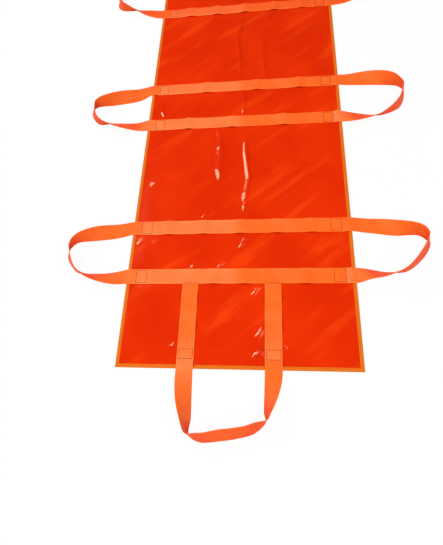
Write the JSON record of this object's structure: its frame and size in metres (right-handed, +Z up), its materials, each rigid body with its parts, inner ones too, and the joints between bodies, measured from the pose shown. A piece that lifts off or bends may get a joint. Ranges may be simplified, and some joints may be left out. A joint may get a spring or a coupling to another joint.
{
  "type": "soft transfer stretcher",
  "caption": "Flexible laminated carrying sheet with edge binding, sewn cross straps and webbing loop handles on its sides and ends, folding in thirds.",
  "frame": {"origin": "under the middle of the sheet, on the floor that the stretcher lies on", "axes": "+X to the stretcher's right side, +Y along its length towards the head end, +Z up"},
  "size_m": [1.1681, 2.3712, 0.05],
  "materials": {
    "laminate": "glossy laminated sheet with soft creases",
    "binding_tape": "narrow amber binding tape, folded over the edge and sewn",
    "webbing": "closely woven flat webbing with a slight sheen",
    "thread": "dark reddish sewing thread"
  },
  "bodies": {
    "middle_section": {"sheet_middle": "laminate", "binding_left_middle": "binding_tape", "binding_right_middle": "binding_tape", "strap_middle_lower": "webbing", "stitch_middle_lower_left": "thread", "stitch_middle_lower_right": "thread", "strap_middle_upper": "webbing", "stitch_middle_upper_left": "thread", "stitch_middle_upper_right": "thread"},
    "foot_section": {"sheet_foot": "laminate", "binding_left_foot": "binding_tape", "binding_right_foot": "binding_tape", "binding_foot_end": "binding_tape", "strap_foot_near": "webbing", "stitch_foot_near_left": "thread", "stitch_foot_near_right": "thread", "strap_foot_far": "webbing", "stitch_foot_far_left": "thread", "stitch_foot_far_right": "thread", "leg_foot_left": "webbing", "stitch_foot_leg_left": "thread", "leg_foot_right": "webbing", "stitch_foot_leg_right": "thread"},
    "head_section": {"sheet_head": "laminate", "binding_left_head": "binding_tape", "binding_right_head": "binding_tape", "binding_head_end": "binding_tape", "strap_head_near": "webbing", "stitch_head_near_left": "thread", "stitch_head_near_right": "thread", "strap_head_far": "webbing", "stitch_head_far_left": "thread", "stitch_head_far_right": "thread", "leg_head_left": "webbing", "stitch_head_leg_left": "thread", "leg_head_right": "webbing", "stitch_head_leg_right": "thread"},
    "handle_middle_left": {"handle_middle_left": "webbing"},
    "handle_middle_right": {"handle_middle_right": "webbing"},
    "handle_foot_left": {"handle_foot_left": "webbing"},
    "handle_foot_right": {"handle_foot_right": "webbing"},
    "handle_head_left": {"handle_head_left": "webbing"},
    "handle_head_right": {"handle_head_right": "webbing"},
    "handle_foot_end": {"handle_foot_end": "webbing"},
    "handle_head_end": {"handle_head_end": "webbing"}
  },
  "joints": [
    {"name": "foot_fold", "type": "hinge", "parent": "middle_section", "child": "foot_section", "pos_m": [0, -0.415, 0.0029], "axis": [-1, 0, 0], "range_deg": [0, 120]},
    {"name": "head_fold", "type": "hinge", "parent": "middle_section", "child": "head_section", "pos_m": [0, 0.415, 0.0029], "axis": [1, 0, 0], "range_deg": [0, 120]},
    {"name": "handle_middle_left_swing", "type": "hinge", "parent": "middle_section", "child": "handle_middle_left", "pos_m": [-0.35515, 0, 0.0048], "axis": [0, 1, 0], "range_deg": [0, 135]},
    {"name": "handle_middle_right_swing", "type": "hinge", "parent": "middle_section", "child": "handle_middle_right", "pos_m": [0.35515, 0, 0.0048], "axis": [0, -1, 0], "range_deg": [0, 135]},
    {"name": "handle_foot_left_swing", "type": "hinge", "parent": "foot_section", "child": "handle_foot_left", "pos_m": [-0.35515, -0.616, 0.0048], "axis": [0, 1, 0], "range_deg": [0, 135]},
    {"name": "handle_foot_right_swing", "type": "hinge", "parent": "foot_section", "child": "handle_foot_right", "pos_m": [0.35515, -0.616, 0.0048], "axis": [0, -1, 0], "range_deg": [0, 135]},
    {"name": "handle_head_left_swing", "type": "hinge", "parent": "head_section", "child": "handle_head_left", "pos_m": [-0.35515, 0.616, 0.0048], "axis": [0, 1, 0], "range_deg": [0, 135]},
    {"name": "handle_head_right_swing", "type": "hinge", "parent": "head_section", "child": "handle_head_right", "pos_m": [0.35515, 0.616, 0.0048], "axis": [0, -1, 0], "range_deg": [0, 135]},
    {"name": "handle_foot_end_swing", "type": "hinge", "parent": "foot_section", "child": "handle_foot_end", "pos_m": [0, -0.99015, 0.0048], "axis": [-1, 0, 0], "range_deg": [0, 135]},
    {"name": "handle_head_end_swing", "type": "hinge", "parent": "head_section", "child": "handle_head_end", "pos_m": [0, 0.99015, 0.0048], "axis": [1, 0, 0], "range_deg": [0, 135]}
  ]
}
